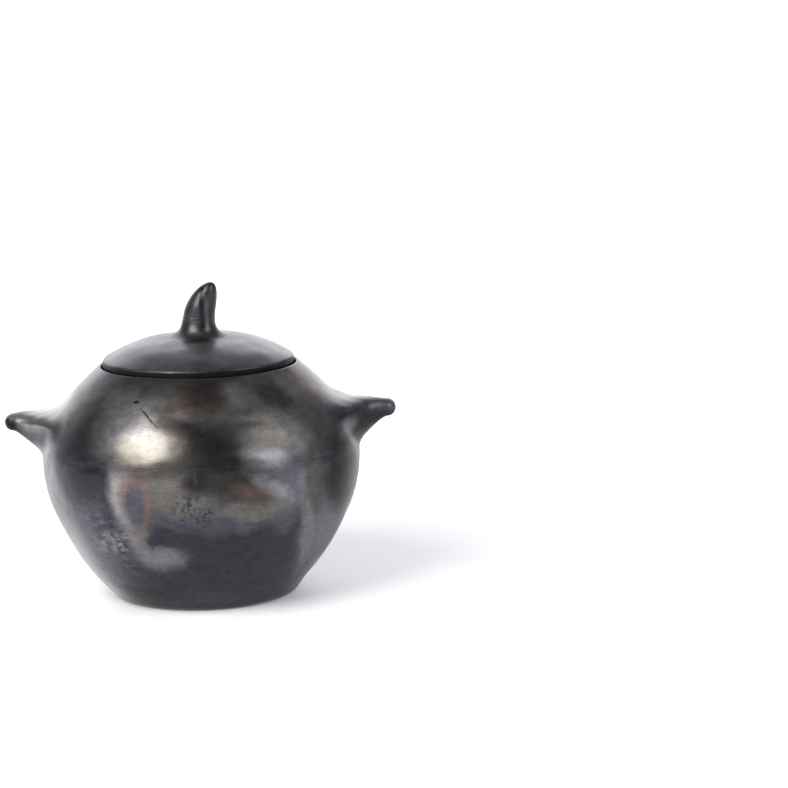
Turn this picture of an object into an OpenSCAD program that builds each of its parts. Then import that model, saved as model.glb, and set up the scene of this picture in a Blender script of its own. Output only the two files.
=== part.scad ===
// Round lidded pot of burnished black clay, with two horn lugs and a drop-in lid.
// Millimetres, +Z up. The origin is the centre of the flat underside.
// The lugs point along X. Every wall surface is a chain of tangent arcs, and a point on
// it is found from the slope of the surface there: -90 degrees is the underside, 0 the
// belly, and positive angles the shoulder.

/* [Body] */
// Widest radius of the body
belly_r = 109.5; // [100:0.5:120]
// Thickness of the clay wall
wall = 8; // [6:0.5:9]
// Radius of the turn from the flat underside into the wall
foot_round = 12; // [11:0.5:16]
// Radius of the arc of the lower wall
lower_wall_round = 190; // [170:5:200]
// Radius of the arc just under the belly
lower_belly_round = 90; // [85:1:95]
// Radius of the arc just over the belly
upper_belly_round = 60; // [56:1:64]
// Radius of the arc of the shoulder
shoulder_round = 220; // [200:5:230]

/* [Mouth] */
// Slope of the shoulder where the lip begins, in degrees
mouth_slope = 49; // [48.4:0.1:49.6]
// Radius of the lip's rounded edge
lip_round = 1.8; // [1.4:0.2:2.6]
// Depth of the lid's seat under the top of the lip
seat_depth = 6; // [5:0.5:7]
// Width of the ledge that the lid rests on
ledge_w = 10; // [8:0.5:12]
// Thickness of the ledge at its free edge
ledge_h = 5; // [4:0.5:6]

/* [Lugs] */
// Distance from the pot's axis to the tip of each lug
lug_reach = 134.5; // [132:0.5:140]
// Height of the left lug's tip
left_tip_z = 122; // [119:0.5:125]
// Height of the right lug's tip
right_tip_z = 125.5; // [122:0.5:128]
// Half the width of a lug at its root
lug_root_w = 44; // [38:1:46]
// Height of a lug's root above its ridge
lug_root_up = 9; // [8:0.5:12]
// Depth of a lug's root below its ridge
lug_root_down = 38; // [34:1:40]
// Half the width of a lug where its tip begins
lug_tip_w = 8.5; // [7:0.5:10]
// Half the height of a lug where its tip begins
lug_tip_h = 6.4; // [5.6:0.2:7.2]

/* [Lid] */
// Gap between the lid's edge and the mouth
lid_gap = 1; // [0.8:0.1:1.6]
// Height of the lid's straight edge above its seat
lid_edge_h = 8.4; // [7.6:0.2:9.4]
// Radius of the arc over the middle of the dome
dome_top_round = 190; // [170:5:220]
// Radius of the arc round the side of the dome
dome_side_round = 88; // [84:1:96]
// Thickness of the lid
lid_thick = 7.5; // [6:0.5:8.5]
// Radius of the lid's rounded upper edge
lid_edge_round = 2.4; // [2:0.2:3]

/* [Stem] */
// Height of the stem above the top of the dome
stem_h = 36; // [32:0.5:38]
// Radius of the stem in its middle
stem_r = 10.8; // [9:0.1:12]
// Length over which the stem rounds off to its tip
stem_tip_length = 23; // [18:0.5:26]
// How far the stem's foot stands off the lid's axis, along +X
stem_x = 0.9; // [0:0.1:2]
// How far the tip leans away from the foot
stem_lean = 9.6; // [6:0.2:12]
// Direction in which the stem leans, in degrees from +X
stem_heading = -20; // [-180:5:180]
// How far the stem's foot flares out beyond its middle radius
stem_flare = 4.6; // [2:0.1:5]

/* [Hidden] */

$fn = 96;
CLAY = "#34343a";
LID_CLAY = "#3a3a40";
INNER_CLAY = "#26262a";

// Slopes at which one arc of the wall runs into the next
foot_slope = -44;
lower_belly_slope = -24;
shoulder_slope = 39;
// Slopes of the joints between the clay parts, at the outer and the inner face
base_joint = [-50, -62];
belly_joint = [10, 16];
rim_joint = [44.5, 43.5];
// Slopes of the inner wall between which the ledge is rooted
ledge_root_slope = 46;
seat_slope = mouth_slope - 0.5;
// Longest straight stretch in an arc, and the number of them in a small round
arc_step = 3.5;
round_steps = 6;
// Sweep of a blunt tip's outline, which leaves a small flat at its end
tip_sweep = 86;

// Bevels that take the sharpness off the ledge's and the lid's lower edges
ledge_bevel = 1.2;
lid_bevel = 1.2;
// Inner radius of the lid's flat bearing ring, as a share of the ledge's width
bearing_share = 0.75;
// Slope at which the side of the dome runs into its middle
dome_side_slope = 80;
// Where a lug's loft begins, inside the wall, and where the lug starts to thin out
lug_start_x = 80;
lug_root_x = 94;
// Length of the half ellipsoid at a lug's tip
lug_tip_length = 6.5;
// How fast a lug's root thins out towards the tip: sideways, above and below
side_taper = 1.8;
upper_taper = 0.8;
lower_taper = 1.2;
lug_rings = 12;
tip_rings = 6;
ring_points = 32;
stem_rings = 14;
// Height over which the stem's flared foot dies away, and how deep its loft starts
flare_h = 5;
stem_root_depth = 4;
// The stem leans by this power of its height
lean_power = 2.3;

function direction(angle) = [cos(angle), sin(angle)];

// The foot stands on z = 0, which sets the height of every arc above it.
lower_wall_z = foot_round - (lower_wall_round - foot_round) * sin(foot_slope);
belly_z = lower_wall_z + (lower_wall_round - lower_belly_round) * sin(lower_belly_slope);
lower_belly_centre = [belly_r - lower_belly_round, belly_z];
lower_wall_centre = lower_belly_centre
    - (lower_wall_round - lower_belly_round) * direction(lower_belly_slope);
foot_centre = lower_wall_centre + (lower_wall_round - foot_round) * direction(foot_slope);
upper_belly_centre = [belly_r - upper_belly_round, belly_z];
shoulder_centre = upper_belly_centre
    - (shoulder_round - upper_belly_round) * direction(shoulder_slope);

// Arcs of the wall, from the foot up: centre, radius, first and last slope
WALL_ARCS = [
    [foot_centre, foot_round, -90, foot_slope],
    [lower_wall_centre, lower_wall_round, foot_slope, lower_belly_slope],
    [lower_belly_centre, lower_belly_round, lower_belly_slope, 0],
    [upper_belly_centre, upper_belly_round, 0, shoulder_slope],
    [shoulder_centre, shoulder_round, shoulder_slope, mouth_slope],
];

// Point of one arc at a slope, set in from the outer face
function arc_point(arc, slope, inset) = arc[0] + (arc[1] - inset) * direction(slope);

// Points of one arc between two slopes, its own limits kept
function arc_points(arc, low, high, inset) =
    let (a = max(low, arc[2]), b = min(high, arc[3]),
         n = ceil(arc[1] * (b - a) * PI / 180 / arc_step))
    a >= b ? [] : [for (k = [0 : n - 1]) arc_point(arc, a + (b - a) * k / n, inset)];

// Slope's own point on the wall
function wall_point(slope, inset = 0) =
    let (found = [for (arc = WALL_ARCS) if (slope <= arc[3]) arc])
    arc_point(found[0], slope, inset);

// Wall between two slopes, from low to high
function wall_points(low, high, inset = 0) = concat(
    [for (arc = WALL_ARCS) each arc_points(arc, low, high, inset)],
    [wall_point(high, inset)]);

function reversed(points) = [for (k = [len(points) - 1 : -1 : 0]) points[k]];

// Points of a small round between two angles, its two ends left to what it joins
function round_points(centre, radius, from, to) =
    [for (k = [1 : round_steps - 1])
        centre + radius * direction(from + (to - from) * k / round_steps)];

lip_start = wall_point(mouth_slope);
lip_centre = lip_start - lip_round * direction(mouth_slope);
mouth_r = lip_centre[0] - lip_round;
lip_z = lip_centre[1] + lip_round;
seat_z = lip_z - seat_depth;

// Stretch of wall between two bevelled joints
module wall_ring(low_joint, high_joint) {
    rotate_extrude()
        polygon(concat(
            wall_points(low_joint[0], high_joint[0]),
            reversed(wall_points(low_joint[1], high_joint[1], wall))));
}

// Everything inside the outer face of the wall, used to seat the lugs against it
module wall_core() {
    rotate_extrude()
        polygon(concat([[0, 0]], wall_points(-90, mouth_slope), [[0, lip_start[1]]]));
}

// Closed skin over rings of points, each ring in the same order, with both ends capped
module loft(rings) {
    n = len(rings[0]);
    last = len(rings) - 1;
    polyhedron(
        points = [for (ring = rings) each ring],
        faces = concat(
            [[for (k = [0 : n - 1]) k]],
            [for (j = [0 : last - 1]) for (k = [0 : n - 1])
                [j * n + k, (j + 1) * n + k, (j + 1) * n + (k + 1) % n, j * n + (k + 1) % n]],
            [[for (k = [n - 1 : -1 : 0]) last * n + k]]));
}

// Flat slab that the pot stands on
module base_disc() {
    color(CLAY)
        rotate_extrude()
            polygon(concat(
                [[0, 0]],
                wall_points(-90, base_joint[0]),
                reversed(wall_points(-90, base_joint[1], wall)),
                [[0, wall]]));
}

// Lower half of the body, pressed over a mould
module lower_bowl() {
    color(CLAY)
        wall_ring(base_joint, belly_joint);
}

// Upper half of the body, built up by hand
module shoulder_wall() {
    color(CLAY)
        wall_ring(belly_joint, rim_joint);
}

// Last coil, with the rounded lip round the mouth
module mouth_rim() {
    color(CLAY)
        rotate_extrude()
            polygon(concat(
                wall_points(rim_joint[0], mouth_slope),
                round_points(lip_centre, lip_round, mouth_slope, 180),
                [[mouth_r, lip_centre[1]], [mouth_r, seat_z]],
                reversed(wall_points(rim_joint[1], seat_slope, wall))));
}

// Ring inside the mouth that carries the lid
module lid_ledge() {
    free_r = mouth_r - ledge_w;
    color(INNER_CLAY)
        rotate_extrude()
            polygon(concat(
                [[mouth_r, seat_z], [free_r + ledge_bevel, seat_z],
                 [free_r, seat_z - ledge_bevel], [free_r, seat_z - ledge_h],
                 [free_r + ledge_bevel, seat_z - ledge_h - ledge_bevel]],
                wall_points(ledge_root_slope, seat_slope, wall)));
}

// Share of the way from a lug's root to its tip; the root itself is of one size
function lug_share(x) = max(0, (x - lug_root_x) / (lug_reach - lug_tip_length - lug_root_x));

// Half size of a lug at x, from its size at the root and at the tip
function lug_half(x, root, tip, taper) = tip + (root - tip) * pow(1 - lug_share(x), taper);

// One upright ring of a lug: its middle height, half width and height up and down from there
function lug_ring(x, z, w, up, down) =
    [for (k = [0 : ring_points - 1])
        let (a = -360 * k / ring_points) [x, w * cos(a), z + sin(a) * (sin(a) > 0 ? up : down)]];

// Horn pinched out along +X, cut to sit on the wall
module horn_lug(tip_z) {
    tip_x = lug_reach - lug_tip_length;
    horn = [for (k = [0 : lug_rings])
        let (x = lug_start_x + (tip_x - lug_start_x) * k / lug_rings)
        lug_ring(x, tip_z,
            lug_half(x, lug_root_w, lug_tip_w, side_taper),
            lug_half(x, lug_root_up, lug_tip_h, upper_taper),
            lug_half(x, lug_root_down, lug_tip_h, lower_taper))];
    tip = [for (k = [1 : tip_rings])
        let (a = tip_sweep * k / tip_rings)
        lug_ring(tip_x + lug_tip_length * sin(a) / sin(tip_sweep), tip_z,
            lug_tip_w * cos(a), lug_tip_h * cos(a), lug_tip_h * cos(a))];
    difference() {
        loft(concat(horn, tip));
        wall_core();
    }
}

module left_lug() {
    color(CLAY)
        mirror([1, 0, 0])
            horn_lug(left_tip_z);
}

module right_lug() {
    color(CLAY)
        horn_lug(right_tip_z);
}

lid_r = mouth_r - lid_gap;
// The rounded edge reaches out to lid_r and leaves the side of the dome smoothly
dome_side_r = (dome_top_round - dome_side_round) * cos(dome_side_slope);
dome_edge_slope = acos((lid_r - lid_edge_round - dome_side_r)
    / (dome_side_round - lid_edge_round));
dome_side_z = seat_z + lid_edge_h - (dome_side_round - lid_edge_round) * sin(dome_edge_slope);
dome_side_centre = [dome_side_r, dome_side_z];
dome_top_centre = dome_side_centre
    - (dome_top_round - dome_side_round) * direction(dome_side_slope);
dome_z = dome_top_centre[1] + dome_top_round;

// Outline of the lid's upper face, from a slope on its side to the middle
function dome_points(inset = 0, edge_slope = dome_edge_slope) = concat(
    arc_points([dome_side_centre, dome_side_round, 0, dome_side_slope],
        edge_slope, 90, inset),
    arc_points([dome_top_centre, dome_top_round, dome_side_slope, 90], 0, 90, inset),
    [[0, dome_z - inset]]);

// Domed disc with a flat bearing ring under its edge
module lid_dome() {
    bearing_r = mouth_r - ledge_w * bearing_share;
    hollow_slope = acos((bearing_r - dome_side_r) / (dome_side_round - lid_thick));
    edge_centre = [lid_r - lid_edge_round, seat_z + lid_edge_h];
    color(LID_CLAY)
        rotate_extrude()
            polygon(concat(
                [[bearing_r, seat_z], [lid_r - lid_bevel, seat_z],
                 [lid_r, seat_z + lid_bevel], [lid_r, edge_centre[1]]],
                round_points(edge_centre, lid_edge_round, 0, dome_edge_slope),
                dome_points(),
                reversed(dome_points(lid_thick, hollow_slope))));
}

// Level ring of the stem at a height over the dome, its middle set over by the lean
function stem_ring(height, radius) =
    let (lean = stem_lean * pow(max(0, height) / stem_h, lean_power))
    [for (k = [0 : ring_points - 1])
        let (a = -360 * k / ring_points)
        [lean + radius * cos(a), radius * sin(a), dome_z + height]];

// Curved stem to lift the lid by, flared at the foot and seated on the dome
module lid_stem() {
    shaft_h = stem_h - stem_tip_length;
    shaft = [for (k = [0 : stem_rings - 1])
        let (height = -stem_root_depth + (shaft_h + stem_root_depth) * k / stem_rings)
        stem_ring(height, stem_r + stem_flare * exp(-height / flare_h))];
    end_flare = stem_flare * exp(-shaft_h / flare_h);
    tip = [for (k = [0 : stem_rings])
        let (a = tip_sweep * k / stem_rings)
        stem_ring(shaft_h + stem_tip_length * sin(a) / sin(tip_sweep),
            (stem_r + end_flare) * cos(a))];
    color(LID_CLAY)
        difference() {
            translate([stem_x, 0, 0])
                rotate([0, 0, stem_heading])
                    loft(concat(shaft, tip));
            rotate_extrude()
                polygon(concat([[0, seat_z], [lid_r, seat_z]], dome_points()));
        }
}

base_disc();
lower_bowl();
shoulder_wall();
mouth_rim();
lid_ledge();
left_lug();
right_lug();
lid_dome();
lid_stem();
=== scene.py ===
"""Looks of a lidded pot of burnished black clay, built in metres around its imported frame.

The pot's body is one wall, laid out as rows round the pot's axis and cut into its clay
parts. The lugs and the stem grow out of the surface they are luted to without a seam.
"""

import math

import bpy
import numpy as np
from mathutils import Matrix, Vector, noise


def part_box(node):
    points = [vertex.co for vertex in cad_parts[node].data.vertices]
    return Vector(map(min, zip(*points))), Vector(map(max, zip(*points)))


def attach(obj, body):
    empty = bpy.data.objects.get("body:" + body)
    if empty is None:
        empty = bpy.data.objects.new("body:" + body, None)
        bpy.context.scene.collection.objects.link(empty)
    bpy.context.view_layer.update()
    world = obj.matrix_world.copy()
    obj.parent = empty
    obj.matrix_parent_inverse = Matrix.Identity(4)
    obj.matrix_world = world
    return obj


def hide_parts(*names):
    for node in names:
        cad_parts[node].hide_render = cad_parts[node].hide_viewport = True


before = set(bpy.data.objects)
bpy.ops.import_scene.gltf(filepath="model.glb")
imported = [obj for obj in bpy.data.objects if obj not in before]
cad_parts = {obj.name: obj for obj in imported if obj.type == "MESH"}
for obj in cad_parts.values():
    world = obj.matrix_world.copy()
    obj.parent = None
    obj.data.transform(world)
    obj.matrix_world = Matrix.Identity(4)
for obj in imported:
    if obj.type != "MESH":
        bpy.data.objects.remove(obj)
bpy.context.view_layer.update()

# ---- Driving dimensions, from the frame ----
belly_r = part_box("lower_bowl")[1].x
seat_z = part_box("lid_dome")[0].z
lid_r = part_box("lid_dome")[1].x
dome_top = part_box("lid_dome")[1].z
stem_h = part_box("lid_stem")[1].z - dome_top
lug_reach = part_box("right_lug")[1].x

# ---- Wall ----
WALL = 0.008
# A slope is where a face looks, in degrees: -90 down, 0 outward, 90 up
MOUTH_SLOPE = 49
# Tangent arcs of the wall from the foot up: radius, first slope and last slope
ARCS = [
    (0.012, -90, -44),
    (0.190, -44, -24),
    (0.090, -24, 0),
    (0.060, 0, 39),
    (0.220, 39, MOUTH_SLOPE),
]
BELLY_ARC = 2
LIP_ROUND = 0.0018
# Height of the narrow strip at the foot of the mouth's inside, which keeps the corner crisp
CORNER = 0.0004
# Slopes of the joints between the clay parts, at the outer and the inner face
BASE_JOINT = (-50, -62)
BELLY_JOINT = (10, 16)
RIM_JOINT = (44.5, 43.5)
# Slopes of the inner face between which the ledge is rooted
LEDGE_ROOT = 46
SEAT_SLOPE = MOUTH_SLOPE - 0.5
LEDGE_W = 0.010
LEDGE_H = 0.0062
LEDGE_ROUND = 0.0016
# Columns round the pot, the longest steps between rows on curved and on flat faces, and the
# largest turn of an arc in one step, in degrees
COLUMNS = 432
ROW_STEP = 0.0016
FLAT_STEP = 0.006
MAX_TURN = 9.0

# ---- Lugs ----
LUG_COLUMNS = 96
# Where the horn starts to thin out, and where its rounded tip begins
LUG_ROOT_X = 0.094
LUG_TIP_X = 0.128
# Half widths and half heights at those two places
LUG_ROOT_W = 0.044
LUG_ROOT_UP = 0.009
LUG_ROOT_DOWN = 0.038
LUG_TIP_W = 0.0085
LUG_TIP_H = 0.0064
# How fast the horn thins out: sideways, above and below
SIDE_TAPER = 1.8
UPPER_TAPER = 0.8
LOWER_TAPER = 1.2
# Half the width over which a lug's fillet spreads on the wall
LUG_SPREAD_W = 0.047
# Where the fillet runs into the horn, further out under it and less so over it
LUG_JOIN_X = 0.1065
LUG_JOIN_LOWER = 0.0065
LUG_JOIN_UPPER = -0.001
# Step along a lug that finds its heading
LUG_STEP = 0.0005
# Point of the cone that closes a lug inside the wall
LUG_CONE_X = LUG_ROOT_X + 0.001
# Rings of the fillet, of the horn and of its tip
FILLET_RINGS = 13
HORN_RINGS = 15
TIP_RINGS = 10
# The wall sinks this deep under a lug, within this share of the root's width
DENT_DEPTH = 0.0015
DENT_EDGE = 0.22

# ---- Lid ----
LID_COLUMNS = 384
# Radii of the arcs in the middle of the dome and round it, and the slope at which they meet
DOME_TOP_ROUND = 0.190
DOME_SIDE_ROUND = 0.088
DOME_SIDE_SLOPE = 80
LID_THICK = 0.0075
LID_EDGE_ROUND = 0.0024
LID_FOOT_ROUND = 0.0012
# Width of the ledge that the lid's bearing ring covers
BEARING_W = 0.0075
# Width of the lid's rim in which its upper face grows even
LID_EVEN_W = 0.010

# ---- Stem ----
STEM_COLUMNS = 96
# Place of the foot, radius of the shaft and length of the rounded tip
STEM_X = 0.0009
STEM_R = 0.0108
STEM_TIP_LENGTH = 0.023
# How far the tip leans and which way, and the power of the height by which it does
STEM_LEAN = 0.0096
STEM_HEADING = math.radians(-20)
STEM_LEAN_POWER = 2.3
# Width that the foot flares out, and the height over which the flare dies away
STEM_FLARE = 0.0046
STEM_FLARE_H = 0.005
# Radius of the fillet of wet clay round the stem's foot, and where the free stem begins
STEM_ROOT_R = 0.0215
STEM_JOIN_H = 0.0055
# Step up the stem that finds its heading
STEM_STEP = 0.0003
# Depth under the dome's top of the point of the cone that closes the stem
STEM_CONE = 0.004
# Rings of the fillet, of the shaft and of its tip
STEM_FILLET_RINGS = 10
SHAFT_RINGS = 28
STEM_TIP_RINGS = 30

# ---- Marks of the hand ----
# Layers of random swells: height, swells per metre and seed
WALL_SWELLS = [(0.0016, 13, 1), (0.0004, 34, 2)]
WALL_STROKES = (0.00016, 62, 3)
COIL_DABS = (0.0012, 45, 6)
LUG_SWELLS = [(0.0007, 60, 8), (0.0003, 130, 9)]
LID_SWELLS = [(0.0011, 22, 11), (0.00045, 60, 12)]
STEM_SWELLS = [(0.0005, 40, 15), (0.00015, 120, 16)]
# How far each seed moves the random swells
SEED_SHIFT = (3.1, 1.7, 2.3)
# The wall's strokes are this many times flatter than they are wide
STROKES_FLAT = 2.4
# Coils of clay: height of one, depth of its groove, and its swaying, in radians, as a layer
COIL_H = 0.013
COIL_DEPTH = 0.00045
COIL_SWAY = (5.0, 18, 5)
# Rings or rows over which the marks fade in from a joint
FADE_IN = 8
# Heights over which they fade in from the pot's foot, and from its inner floor
FOOT_FADE = (0.001, 0.012)
FLOOR_FADE = (0.008, 0.020)
# Depth below the stem's top over which they fade out
STEM_TOP_FADE = 0.004
# Depth by which uneven faces are sunk, so that their bumps stay inside the CAD model's box
WALL_SINK = 0.0007
LUG_SINK = 0.0002
LID_SINK = 0.0002
# Share of the lid's unevenness that is gone at its edge
LID_EVENED = 0.65
# Level ridges in the stem: height, pitch, the way they face, and the heights over the dome
# between which they begin and end
RIDGE_H = 0.00009
RIDGE_PITCH = 0.0022
RIDGES_FACE = np.array([-0.5, -0.85])
RIDGES_BEGIN = (0.008, 0.012)
RIDGES_END = (0.020, 0.024)
# Shorter than this is no length at all
TINY = 1e-12


def smooth(low, high, value):
    """0 below low, 1 above high, and a smooth rise between them."""
    t = np.clip((value - low) / (high - low), 0.0, 1.0)
    return t * t * (3.0 - 2.0 * t)


def ripple(points, per_metre, seed):
    """Smooth random height, about -0.5 to 0.5, at each point."""
    shift = Vector([step * seed for step in SEED_SHIFT])
    values = [noise.noise(Vector(p) * per_metre + shift) for p in points.reshape(-1, 3)]
    return np.array(values).reshape(points.shape[:-1])


def swells(points, *layers):
    """Sum of layers of random swells at each point."""
    return sum(height * ripple(points, per_metre, seed) for height, per_metre, seed in layers)


def direction(slope):
    """Unit vector (outward, up) at a slope in degrees."""
    return np.array([math.cos(math.radians(slope)), math.sin(math.radians(slope))])


# ---- Outlines ----
def wall_arcs():
    """Centre, radius and slopes of each arc of the wall, the first one standing on z = 0."""
    centre = np.array([0.0, ARCS[0][0]])
    placed = []
    radius_below = ARCS[0][0]
    for radius, low, high in ARCS:
        centre = centre + (radius_below - radius) * direction(low)
        placed.append((centre, radius, low, high))
        radius_below = radius
    shift = np.array([belly_r - placed[BELLY_ARC][0][0] - ARCS[BELLY_ARC][0], 0.0])
    return [(c + shift, radius, low, high) for c, radius, low, high in placed]


WALL_ARCS = wall_arcs()


def arc(centre, radius, low, high, step=ROW_STEP):
    """Points of an arc from one angle to another, both ends included."""
    sweep = abs(high - low)
    n = max(2, math.ceil(sweep / MAX_TURN), math.ceil(radius * math.radians(sweep) / step))
    angles = np.radians(np.linspace(low, high, n + 1))
    return centre + radius * np.stack([np.cos(angles), np.sin(angles)], axis=1)


def line(start, end, step=FLAT_STEP):
    """Points of a straight line, both ends included."""
    start, end = np.array(start, float), np.array(end, float)
    n = max(1, math.ceil(np.linalg.norm(end - start) / step))
    return start + (end - start) * np.linspace(0, 1, n + 1)[:, None]


def join(*runs):
    """One run of points, each run's first point being the last one of the run before."""
    return np.vstack([runs[0]] + [run[1:] for run in runs[1:]])


def stretch(low, high, inset=0.0):
    """Points of the wall from one slope up to another, set in from the outer face."""
    runs = []
    for centre, radius, first, last in WALL_ARCS:
        a, b = max(low, first), min(high, last)
        if a < b:
            runs.append(arc(centre, radius - inset, a, b))
    return join(*runs)


LIP_CENTRE = stretch(MOUTH_SLOPE - 1, MOUTH_SLOPE)[-1] - LIP_ROUND * direction(MOUTH_SLOPE)
MOUTH_R = LIP_CENTRE[0] - LIP_ROUND


def ledge_outline():
    """Top, free edge and underside of the ledge, from the mouth to the ledge's root."""
    root = stretch(LEDGE_ROOT, SEAT_SLOPE, WALL)[0]
    free_r = MOUTH_R - LEDGE_W
    inner = free_r + LEDGE_ROUND
    bottom = seat_z - LEDGE_H
    upper_round = np.array([inner, seat_z - LEDGE_ROUND])
    lower_round = np.array([inner, bottom + LEDGE_ROUND])
    return join(
        line((MOUTH_R, seat_z), (MOUTH_R - CORNER, seat_z)),
        line((MOUTH_R - CORNER, seat_z), (inner, seat_z), 2 * ROW_STEP),
        arc(upper_round, LEDGE_ROUND, 90, 180),
        line((free_r, upper_round[1]), (free_r, lower_round[1])),
        arc(lower_round, LEDGE_ROUND, 180, 270),
        line((inner, bottom), root, 2 * ROW_STEP),
    )


def wall_sections():
    """The wall's closed outline in order, from under the base round to its inner floor."""
    foot_r = WALL_ARCS[0][0][0]
    return {
        "base_out": join(line((0, 0), (foot_r, 0)), stretch(-90, BASE_JOINT[0])),
        "bowl_out": stretch(BASE_JOINT[0], BELLY_JOINT[0]),
        "shoulder_out": stretch(BELLY_JOINT[0], RIM_JOINT[0]),
        "rim_out": join(
            stretch(RIM_JOINT[0], MOUTH_SLOPE),
            arc(LIP_CENTRE, LIP_ROUND, MOUTH_SLOPE, 180),
            line((MOUTH_R, LIP_CENTRE[1]), (MOUTH_R, seat_z + CORNER), ROW_STEP),
            line((MOUTH_R, seat_z + CORNER), (MOUTH_R, seat_z)),
        ),
        "ledge": ledge_outline(),
        "rim_in": stretch(RIM_JOINT[1], LEDGE_ROOT, WALL)[::-1],
        "shoulder_in": stretch(BELLY_JOINT[1], RIM_JOINT[1], WALL)[::-1],
        "bowl_in": stretch(BASE_JOINT[1], BELLY_JOINT[1], WALL)[::-1],
        "base_in": join(stretch(-90, BASE_JOINT[1], WALL)[::-1], line((foot_r, WALL), (0, WALL))),
    }


SECTIONS = wall_sections()
OUTLINE = join(*SECTIONS.values())


def section_rows():
    """First and last row number of each section in the wall's outline."""
    rows, first = {}, 0
    for name, section in SECTIONS.items():
        last = first + len(section) - 1
        rows[name] = (first, last)
        first = last
    return rows


ROWS = section_rows()
JOINT_LINE_Z = SECTIONS["bowl_out"][-1][1]


def outline_normals(outline):
    """Outward normals (out, up) along a closed outline drawn from the underside up."""
    along = np.gradient(outline, axis=0)
    normals = np.stack([along[:, 1], -along[:, 0]], axis=1)
    return normals / np.linalg.norm(normals, axis=1)[:, None]


OUTLINE_NORMALS = outline_normals(OUTLINE)


def turned(outline, columns):
    """An outline turned round the Z axis into rows of points."""
    angles = np.linspace(0, 2 * math.pi, columns, endpoint=False)[None, :]
    out, up = outline[:, None, 0], outline[:, None, 1]
    return np.stack([out * np.cos(angles), out * np.sin(angles), up + 0.0 * angles], axis=-1)


# ---- Unevenness ----
def hand_made(points):
    """Unevenness left in the outer face by hand, in metres along the normal."""
    strokes = swells(points * np.array([1.0, 1.0, STROKES_FLAT]), WALL_STROKES)
    bumps = swells(points, *WALL_SWELLS) + strokes - WALL_SINK
    return bumps * smooth(*FOOT_FADE, points[..., 2])


def coil_marks(points):
    """Soft rings and finger marks left on the inner face."""
    z = points[..., 2]
    rings = COIL_DEPTH * np.sin(z * 2 * math.pi / COIL_H + swells(points, COIL_SWAY))
    return (rings + swells(points, COIL_DABS)) * smooth(*FLOOR_FADE, z)


def lid_swell(points):
    """Unevenness of the lid's upper face, less at its edge, in metres along the normal."""
    radius = np.hypot(points[..., 0], points[..., 1])
    bumps = swells(points, *LID_SWELLS) - LID_SINK
    return bumps * (1 - LID_EVENED * smooth(lid_r - LID_EVEN_W, lid_r, radius))


def horn_marks(points):
    """Unevenness of a lug, in metres along the normal."""
    return swells(points, *LUG_SWELLS) - LUG_SINK


def stem_marks(points):
    """Unevenness of the stem, with small level ridges pressed into its front left side."""
    height = points[..., 2] - dome_top
    facing = np.clip(points[..., :2] @ RIDGES_FACE / STEM_R, 0, 1)
    band = smooth(*RIDGES_BEGIN, height) * (1 - smooth(*RIDGES_END, height))
    ridges = RIDGE_H * np.sin(height * 2 * math.pi / RIDGE_PITCH) * band * facing
    return swells(points, *STEM_SWELLS) + ridges


# ---- Meshes ----
def grid_normals(grid):
    """Normals of a grid of rows, each of which closes on itself."""
    along_row = np.roll(grid, -1, axis=1) - np.roll(grid, 1, axis=1)
    normals = np.cross(along_row, np.gradient(grid, axis=0))
    size = np.linalg.norm(normals, axis=-1)[..., None]
    return normals / np.maximum(size, TINY)


def strip(first, second, columns):
    """Faces between two rings of point numbers, where a ring of one point is a pole."""
    faces = []
    for j in range(columns):
        ends = [(first, j), (first, j + 1), (second, j + 1), (second, j)]
        corners = [ring[k % len(ring)] for ring, k in ends]
        faces.append([v for k, v in enumerate(corners) if v != corners[k - 1]])
    return faces


def piece(name, body, node, materials, rings, normals, flat=(), inside=()):
    """A closed solid through rings of points, which stands for one CAD node.

    A solid that starts and ends in a single point is closed there, any other one is
    closed by a strip from its last ring to its first. The strips numbered in flat keep
    hard edges, and those numbered in inside take the second material.
    """
    ends = np.cumsum([len(ring) for ring in rings])
    numbers = [list(range(end - len(ring), end)) for end, ring in zip(ends.tolist(), rings)]
    columns = max(len(ring) for ring in rings)
    strips = len(rings) - (len(rings[0]) == 1)
    faces, face_strips = [], []
    for k in range(strips):
        made = strip(numbers[k], numbers[(k + 1) % len(rings)], columns)
        faces += made
        face_strips += [k] * len(made)
    mesh = bpy.data.meshes.new(name)
    mesh.from_pydata(np.vstack(rings).tolist(), [], faces)
    mesh.polygons.foreach_set("use_smooth", [True] * len(faces))
    mesh.polygons.foreach_set("material_index", [int(k in inside) for k in face_strips])
    point_normals = np.vstack(normals).tolist()
    own_normal = (0.0, 0.0, 0.0)
    corner_normals = []
    for face, k in zip(faces, face_strips):
        corner_normals += [own_normal if k in flat else point_normals[v] for v in face]
    mesh.normals_split_custom_set(corner_normals)
    for material in materials:
        mesh.materials.append(material)
    obj = bpy.data.objects.new(name, mesh)
    bpy.context.collection.objects.link(obj)
    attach(obj, body)
    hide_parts(node)


def unit(vectors):
    """Vectors of length 1 in the same directions."""
    return vectors / np.linalg.norm(vectors, axis=-1)[..., None]


def grow(root, root_normal, start, ahead, count):
    """Rings that leave a surface along itself and curve into the ring called start."""
    chord = start - root
    length = np.linalg.norm(chord, axis=-1)[:, None]
    leave = chord - (chord * root_normal).sum(axis=-1)[:, None] * root_normal
    leave /= np.linalg.norm(leave, axis=-1)[:, None]
    rings = []
    for t in np.linspace(0, 1, count):
        from_root = 2 * t ** 3 - 3 * t ** 2 + 1
        along_leave = t ** 3 - 2 * t ** 2 + t
        along_ahead = t ** 3 - t ** 2
        rings.append(
            from_root * root + (1 - from_root) * start
            + (along_leave * leave + along_ahead * ahead) * length
        )
    return rings


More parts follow.
